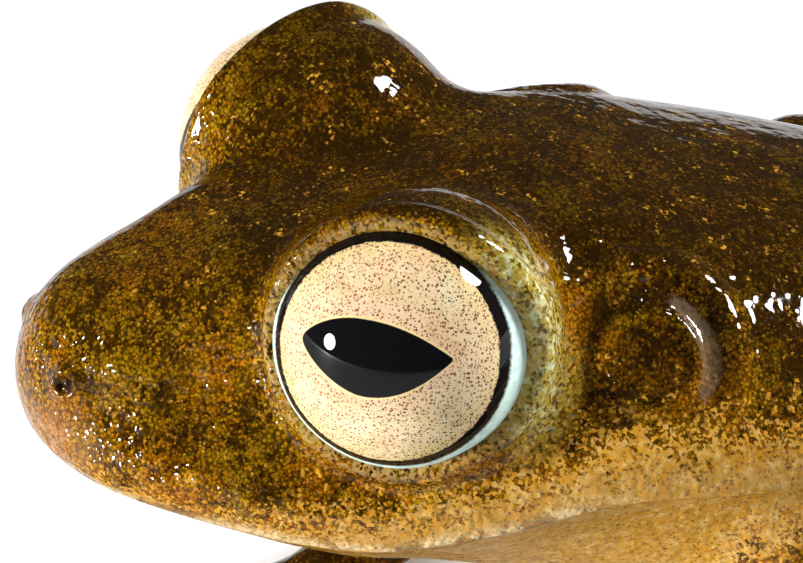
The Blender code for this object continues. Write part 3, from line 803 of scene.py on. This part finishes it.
def lip_colour(g, p, body, tone, halftone, is_dot):
    """Edge of the upper lip: cream with brown bars."""
    bar = g.step(g.plus(g.noise(p, 1.5, 2.0, 0.6), g.times(halftone, 0.12)), 0.48, 0.57)
    colour = g.mix(g.times(bar, 0.80), LIP_CREAM, LIP_BAR)
    colour = g.mix(g.step(tone[1], 0.70, 0.85, 0.0, 0.6), colour, LIP_ORANGE)
    colour = g.mix(g.times(is_dot, 0.5), colour, LIP_DOT)
    return g.mix(g.times(g.attr("lip"), 0.85), body, colour)


def relief(g, p):
    """Round granules, larger and lower swellings, and fine grain."""
    warty = g.step(g.noise(g.coords(offset=(1.3, 4.4, 2.0)), 1.2, 2.0), 0.35, 0.65, 0.35, 1.0)
    round_top = g.times(g.step(g.cells(p, GRANULES).outputs["Distance"], 0.05, 0.70, 1.0, 0.0), warty)
    height = g.plus(g.times(round_top, 0.30), g.noise(p, 2.4, 3.0, 0.6))
    normal = g.bump(height, 0.000085, 0.62)
    return g.bump(g.noise(p, 22.0, 2.0, 0.6), 0.000005, 0.7, normal)


def wet_film(g, p):
    """The wet surface: smoother than the skin, with low domes on the muzzle and temple."""
    granular = g.attr("granular")
    domes = g.step(g.cells(p, WET_DOMES).outputs["Distance"], 0.05, 0.70, 1.0, 0.0)
    grains = g.times(domes, g.step(granular, 0.0, 1.0, 0.08, 0.62, smooth=False))
    waves = g.times(g.noise(p, 1.9, 1.0, 0.4), g.step(granular, 0.0, 1.0, 1.0, 2.6, smooth=False))
    return g.bump(g.plus(grains, waves), 0.00008, 0.55)


def skin_material():
    """Wet frog skin: gold-grained brown above and cream below, with granules under a smooth film."""
    g = Graph("frog_skin")
    p = g.coords()
    q = wavy(g, p)
    cell = g.cells(q, PIGMENT_CELLS)
    tone = g.channels(cell.outputs["Color"])
    clump = g.noise(p, 11.0, 2.0, 0.7)
    halftone = g.times(g.minus(tone[0], 0.5), 0.8)
    is_dot = dot_mask(g, q)
    patches = g.times(g.minus(g.noise(p, 2.6, 4.0, 0.7), 0.5), 1.5)
    pale = g.plus(g.plus(g.attr("pale"), patches), halftone)
    back = back_colour(g, p, cell, tone, clump)
    body = g.mix(g.step(pale, 0.38, 0.62), back, pale_colour(g, p, tone, is_dot))
    body = g.mix(g.times(g.attr("bars"), 0.62), body, BAR_BROWN)
    body = lid_colour(g, p, body, tone, clump)
    body = face_colour(g, body, halftone, is_dot)
    body = lip_colour(g, p, body, tone, halftone, is_dot)
    rough = g.step(g.noise(p, 10.0, 2.0, 0.6), 0.3, 0.7, 0.42, 0.60)
    return g.set(Base_Color=body, Roughness=rough, Normal=relief(g, p), Coat_Normal=wet_film(g, p),
                 Coat_Weight=0.75, Coat_Roughness=0.045, Coat_IOR=1.34, Specular_IOR_Level=0.0,
                 Subsurface_Weight=0.04, Subsurface_Scale=0.0003, Subsurface_Radius=(1.0, 0.45, 0.2))


# Eye: where the iris and its black rim end, measured from the middle of the eye
IRIS_ANGLE = math.radians(55.0)
LIMBUS_ANGLE = math.radians(62.3)
# Pupil: half its length, where its middle lies, and how far it reaches up and down
PUPIL_HALF = 1.24
PUPIL_BACK = 0.09
PUPIL_UP = 0.20
PUPIL_ABOVE = 0.45
PUPIL_BELOW = 0.78
IRIS = [(0.3, (0.66, 0.46, 0.22)), (0.5, (0.75, 0.58, 0.33)), (0.7, (0.81, 0.68, 0.43))]
IRIS_RIM = (0.72, 0.58, 0.22)
IRIS_PINK = (0.80, 0.47, 0.30)
IRIS_WARM = (0.84, 0.52, 0.34)
IRIS_VEIN = (0.52, 0.30, 0.12)
SPECKS = [(15.5, 0.0, (0.24, 0.050, 0.018)), (24.0, 0.30, (0.30, 0.09, 0.035))]
DARK_SPECK = (0.040, 0.018, 0.012)
PUPIL_EDGE = (0.88, 0.68, 0.30)
PUPIL_BLACK = (0.004, 0.004, 0.005)
RIM_BLACK = (0.006, 0.005, 0.005)
EYE_WHITE = [(0.3, (0.50, 0.76, 0.68)), (0.6, (0.76, 0.94, 0.88))]


def pupil_depth(g, x, y):
    """Above zero inside the pupil: rounded in front, pointed behind, fuller below."""
    t = g.math("DIVIDE", g.plus(x, PUPIL_BACK), PUPIL_HALF)
    front = g.step(t, -0.1, -1.0, smooth=False)
    rear = g.step(t, -0.1, 1.0, smooth=False)
    upper = g.times(g.power(g.minus(1.0, g.power(front, 2.2)), 0.66), g.minus(1.0, g.power(rear, 2.1)))
    lower = g.times(g.power(g.minus(1.0, g.power(front, 1.6)), 0.8), g.minus(1.0, g.power(rear, 2.2)))
    lift = g.plus(g.minus(y, PUPIL_UP), g.times(g.power(front, 2.0), 0.11))
    inside = g.math("MINIMUM", g.minus(g.times(upper, PUPIL_ABOVE), lift),
                    g.plus(g.times(lower, PUPIL_BELOW), lift))
    past_tips = g.math("MAXIMUM", g.minus(g.math("ABSOLUTE", t), 0.97), 0.0)
    return g.minus(inside, g.times(past_tips, 2.0))


def iris_colour(g, p, x, angle, inside):
    """Cream, warmer towards the pupil, with red-brown specks that turn black towards the back."""
    base = g.ramp(g.noise(p, 2.2, 4.0, 0.6), IRIS)
    base = g.mix(g.times(g.step(angle, 0.70, 0.96), 0.50), base, IRIS_RIM)
    base = g.mix(g.times(g.step(inside, -0.55, -0.05), 0.50), base, IRIS_PINK)
    warm = g.noise(g.coords(offset=(5, 1, 2)), 1.3, 2.0)
    base = g.mix(g.step(warm, 0.45, 0.65, 0.0, 0.35), base, IRIS_WARM)
    veins = g.noise(g.coords(offset=(2, 3, 4)), 7.0, 4.0, 0.75, 1.5)
    base = g.mix(g.step(veins, 0.55, 0.68, 0.0, 0.30), base, IRIS_VEIN)
    darker = g.step(g.plus(g.times(x, 0.28), g.noise(p, 1.6, 2.0)), 0.45, 0.85)
    for scale, least, colour in SPECKS:
        dots = g.cells(p, scale, random=0.75)
        tone = g.channels(dots.outputs["Color"])
        keep = g.step(tone[0], least - 0.02, least)
        size = g.step(tone[1], 0.0, 1.0, 0.24, 0.38, smooth=False)
        dot = g.step(g.minus(dots.outputs["Distance"], size), -0.09, 0.06, 1.0, 0.0)
        dark = g.step(g.plus(darker, tone[2]), 0.85, 1.1)
        base = g.mix(g.times(g.times(dot, keep), 0.88), base, g.mix(dark, colour, DARK_SPECK))
    return base


def eye_material(side):
    """Cream iris with red-brown specks, a level pointed pupil, a black rim and a pale blue-green edge."""
    g = Graph("frog_eye_" + side)
    where = g.node("ShaderNodeTexCoord")
    mapping = g.node("ShaderNodeMapping")
    mapping.inputs["Scale"].default_value = (1000, 1000 * SIDES[side], 1000)
    g.put(mapping.inputs["Vector"], where.outputs["Object"])
    p = mapping.outputs[0]
    split = g.node("ShaderNodeSeparateXYZ")
    g.put(split.inputs[0], p)
    x, y, z = split.outputs
    flat = g.math("SQRT", g.plus(g.times(x, x), g.times(y, y)))
    fine = g.times(g.minus(g.noise(p, 17.0, 3.0, 0.8), 0.5), 0.055)
    wobble = g.times(g.minus(g.noise(p, 2.5, 3.0, 0.6), 0.5), 0.04)
    angle = g.plus(g.plus(g.math("ARCTAN2", flat, z), wobble), fine)
    inside = pupil_depth(g, x, y)
    ragged = g.plus(inside, g.times(fine, 0.25))
    base = iris_colour(g, p, x, angle, inside)
    base = g.mix(g.times(g.step(ragged, -0.050, -0.014), 0.85), base, PUPIL_EDGE)
    base = g.mix(g.step(ragged, -0.006, 0.012), base, PUPIL_BLACK)
    base = g.mix(g.step(angle, IRIS_ANGLE - 0.008, IRIS_ANGLE + 0.008), base, RIM_BLACK)
    white = g.step(angle, LIMBUS_ANGLE - 0.015, LIMBUS_ANGLE + 0.03)
    base = g.mix(white, base, g.ramp(g.noise(p, 7.0, 3.0), EYE_WHITE))
    normal = g.bump(g.noise(p, 14.0, 3.0, 0.6), 0.000004, 0.4)
    return g.set(Base_Color=base, Roughness=0.55, Normal=normal, Coat_Weight=0.6, Coat_Roughness=0.012,
                 Coat_IOR=1.38, Specular_IOR_Level=0.0)


# Long way of the left pupil, from its front end to its point behind
PUPIL_LINE = np.array([0.3192608, 0.9403849, -0.11258])
# The ball behind the lids: how far round it goes, and how much the cornea swells
BALL_ANGLE = math.radians(83.0)
CORNEA = 0.012


def eyeball(side, material):
    """A finely divided ball whose own Z looks out of the eye and whose X lies along the pupil."""
    rings = 96
    around = 128
    radius = EYEBALL_RADIUS - 0.01
    theta = np.linspace(0, BALL_ANGLE, rings + 1)[1:]
    phi = np.linspace(0, 2 * math.pi, around, endpoint=False)
    bulge = radius * (1 + CORNEA * np.cos(np.clip(theta / LIMBUS_ANGLE, 0, 1) * math.pi / 2))
    x = bulge[:, None] * np.sin(theta)[:, None] * np.cos(phi)
    y = bulge[:, None] * np.sin(theta)[:, None] * np.sin(phi)
    z = np.repeat((bulge * np.cos(theta))[:, None], around, 1)
    verts = np.concatenate([[[0, 0, radius * (1 + CORNEA)]], np.stack([x, y, z], -1).reshape(-1, 3)])
    faces = [(0, 1 + k, 1 + (k + 1) % around) for k in range(around)]
    for r in range(rings - 1):
        a = 1 + r * around
        b = a + around
        faces += [(a + k, b + k, b + (k + 1) % around, a + (k + 1) % around) for k in range(around)]
    last = 1 + (rings - 1) * around
    faces.append(tuple(last + k for k in range(around))[::-1])
    mesh = bpy.data.meshes.new("eyeball_" + side)
    mesh.from_pydata((verts * MM).tolist(), [], faces)
    mesh.update()
    mesh.shade_smooth()
    mesh.materials.append(material)
    obj = bpy.data.objects.new("eyeball_" + side, mesh)
    bpy.context.scene.collection.objects.link(obj)
    mirror = np.array([SIDES[side], 1, 1])
    out = EYE_AXIS * mirror
    along = PUPIL_LINE * mirror
    along = unit(along - out * (along @ out))
    third = np.cross(out, along)
    turned = Matrix([[along[k], third[k], out[k], 0] for k in range(3)] + [[0, 0, 0, 1]])
    turned.translation = Vector((EYEBALL * mirror - MIDDLE) * MM)
    obj.matrix_world = turned
    return obj


def along_bone(q, side, name):
    a, b = limb_line(side, name)
    p = on_left(q, side)
    t = ((p - a) @ (b - a)) / ((b - a) @ (b - a))
    off = np.linalg.norm(p - a - np.clip(t, 0, 1)[:, None] * (b - a), axis=1)
    return t, off - max(LIMB_RADII[name])


# Dark bars across each part of a limb
LIMB_BARS = {"thigh": 3.5, "shank": 4.0, "forearm": 2.5, "tarsus": 2.5}
TEMPLE = (3.25, 3.4, 11.0)


def skin_masks(verts, normals):
    """Where each colour or relief of the skin lies, from 0 to 1 at each corner."""
    p = fold(verts)
    down = rise(-normals[:, 2], 0.15, 0.75)
    level = mouth_level(p)
    # Jaw and side of the head turn pale towards the line of the mouth, and further back more so
    reach = curve(p[:, 1], [-6, -3, -1, 1, 3, 5, 7, 10], [0.0, 0.35, 0.65, 0.9, 0.95, 0.85, 0.8, 0.5])
    side_pale = rise(reach - level, -1.1, 0.9)
    front = rise(p[:, 1], 11.5, 7.5)
    body_low = rise(6.2 - 0.20 * (p[:, 1] - 8) - p[:, 2], -1.4, 1.0)
    on_trunk = np.clip(1 - body_form(verts) / 0.5, 0, 1)
    pale = np.maximum(side_pale * front, body_low * (1 - front)) * on_trunk
    on_face = rise(level, -0.1, 0.3) * rise(p[:, 1], 7.0, 6.0)
    pale = np.maximum(pale, down * 0.9 * (1 - on_face))
    lip = np.exp(-((level - 0.13) / 0.15) ** 2) * rise(p[:, 1], 3.2, 1.6)
    r, angle = eye_angle(p)
    high, rear, lid = round_the_eye(p)[2:]
    beyond = np.degrees(angle - lid)
    behind = rise(rear + 0.35 * np.minimum(high, 0), 0.35, 0.85)
    lid_pale = rise(beyond, 34, 12) * rise(r, 3.1, 2.7) * behind
    lid_edge = np.exp(-(np.maximum(beyond - 1.0, 0) / 1.9) ** 2) * rise(r, 2.42, 2.24)
    snout_tip = rise(p[:, 1], -4.9, -5.7) * rise(level, 1.75, 1.0)
    snout_tip = snout_tip * rise(level, -2.2, -1.4)
    # Where the painted shade of the nostril openings lies
    nostril = rise(np.linalg.norm(p - NOSTRIL_HOLE, axis=1), 0.20, 0.14)
    # Crescent behind the tympanum where the painted reflection lies
    ear = np.linalg.norm(p - TYMPANUM, axis=1)
    ear_rear = rise((p - TYMPANUM) @ unit(np.array([-0.3, 0.95, -0.15])), 0.35, 0.85)
    grey = np.exp(-((ear - 1.02) / 0.19) ** 2) * ear_rear
    bars = np.zeros(len(p))
    for side in SIDES:
        for name, number in LIMB_BARS.items():
            t, off = along_bone(verts, side, name)
            wave = rise(np.sin((t * number + 0.2) * 2 * math.pi), 0.0, 0.8)
            bars = np.maximum(bars, wave * (off < 0.45) * (t > 0.02) * (t < 0.98) * (1 - down))
    muzzle = rise(p[:, 1], -1.4, -2.6) * rise(normals[:, 2], 0.85, 0.65)
    muzzle = muzzle * rise(level, -0.3, 0.1)
    temple = np.exp(-(np.linalg.norm(p - TEMPLE, axis=1) / 0.85) ** 2)
    granular = np.maximum(muzzle, temple)
    crown = rise(normals[:, 2], 0.40, 0.92) * (0.55 + 0.45 * rise(p[:, 1], -4.5, -1.5))
    return dict(pale=pale, lip=lip, lid_pale=lid_pale, lid_edge=lid_edge, painted_ear_reflection=grey, snout_tip=snout_tip,
                nostril=nostril, bars=bars, crown=crown, granular=granular)


def whole_skin():
    """The skin as one closed net, finer on the head, with its masks painted on it."""
    verts, face = skin_net(whole_form, SKIN_LOW, SKIN_HIGH, FINE)
    verts = slide_to(whole_form, verts, 2, FINE * 0.4)
    middle = verts[face].mean(1)
    on_head = (middle[:, 1] < 7.5) & (middle[:, 2] > 5.0)
    verts, face, extra = split_quads(verts, face, on_head)
    fresh = verts[:, 1] < 8.5
    verts[fresh] = slide_to(whole_form, verts[fresh], 2, FINE * 0.3)
    verts[:, 2] = np.maximum(verts[:, 2], 0.0)
    obj = mesh_object("skin", verts, face, extra)
    normals = np.empty(len(verts) * 3, np.float32)
    obj.data.vertices.foreach_get("normal", normals)
    normals = normals.reshape(-1, 3).astype(float)
    for name, values in skin_masks(verts, normals).items():
        paint(obj, name, values)
    return obj


skin = whole_skin()
skin.data.materials.append(skin_material())
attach(skin, "root")
flesh = [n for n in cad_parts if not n.startswith("eye_")]
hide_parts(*flesh)

for side in SIDES:
    ball_piece = eyeball(side, eye_material(side))
    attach(ball_piece, "root")
    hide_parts("eye_" + side)


def floor_material():
    g = Graph("studio_floor")
    shade = g.noise(g.coords(1.0), 3.0, 2.0)
    return g.set(Base_Color=g.ramp(shade, [(0.3, (0.90, 0.91, 0.925)), (0.7, (0.93, 0.935, 0.945))]),
                 Roughness=0.7)


FLOOR_HALF = 1.2
floor_corners = [(x * FLOOR_HALF, y * FLOOR_HALF, 0) for x, y in ((-1, -1), (1, -1), (1, 1), (-1, 1))]
floor_mesh = bpy.data.meshes.new("floor")
floor_mesh.from_pydata(floor_corners, [], [(0, 1, 2, 3)])
floor_mesh.materials.append(floor_material())
floor = bpy.data.objects.new("floor", floor_mesh)
bpy.context.scene.collection.objects.link(floor)

# Light: a dim even room, and two small lamps that give the points of light on the eye
world = bpy.data.worlds.new("studio")
bpy.context.scene.world = world
world.use_nodes = True
world.node_tree.nodes["Background"].inputs["Color"].default_value = (0.96, 0.98, 1.0, 1.0)
world.node_tree.nodes["Background"].inputs["Strength"].default_value = 0.08

# What the camera and the lamps are aimed by: a point at the near eye
EYE_PLACE = Vector((np.array([3.10, 0.0, 10.5]) - MIDDLE) * MM)


def lamp(name, direction, distance, size, power):
    light = bpy.data.lights.new(name, "AREA")
    light.shape = "DISK"
    light.size = size
    light.energy = power
    obj = bpy.data.objects.new(name, light)
    bpy.context.scene.collection.objects.link(obj)
    way = Vector(direction).normalized()
    obj.location = EYE_PLACE + way * distance
    obj.rotation_euler = way.to_track_quat("Z", "Y").to_euler()


lamp("lamp_rear", (-0.040, 0.761, 0.647), 0.50, 0.15, 4.1)
lamp("lamp_front", (0.099, -0.988, 0.121), 0.40, 0.08, 2.7)

# Camera: 15 degrees in front of the frog's left side and 30 above, framed on the head
RIGHT = Vector((0.2588, 0.9659, 0.0))
UP = Vector((-0.4830, 0.1294, 0.8660))
BACK = Vector((0.8365, -0.2241, 0.5))
DISTANCE = 0.100
SENSOR = 36.0
# Size of the picture and the place of the near eye in it, in pixels, and pixels to the millimetre there
WIDE_PX = 803
HIGH_PX = 563
EYE_PX = (425, 333)
PX_MM = 63.0
camera_data = bpy.data.cameras.new("camera")
camera = bpy.data.objects.new("camera", camera_data)
bpy.context.scene.collection.objects.link(camera)
camera_data.sensor_fit = "HORIZONTAL"
camera_data.sensor_width = SENSOR
camera_data.lens = SENSOR * DISTANCE / (WIDE_PX / PX_MM * MM)
camera_data.clip_start = 0.005
camera_data.clip_end = 10.0
aside = (EYE_PX[0] - WIDE_PX / 2) / PX_MM * MM
below = (EYE_PX[1] - HIGH_PX / 2) / PX_MM * MM
turned = Matrix((RIGHT, UP, BACK)).transposed().to_4x4()
turned.translation = EYE_PLACE - RIGHT * aside + UP * below + BACK * DISTANCE
camera.matrix_world = turned
bpy.context.scene.camera = camera
bpy.context.scene.view_settings.view_transform = "Standard"
bpy.context.scene.view_settings.look = "None"

bpy.context.view_layer.update()
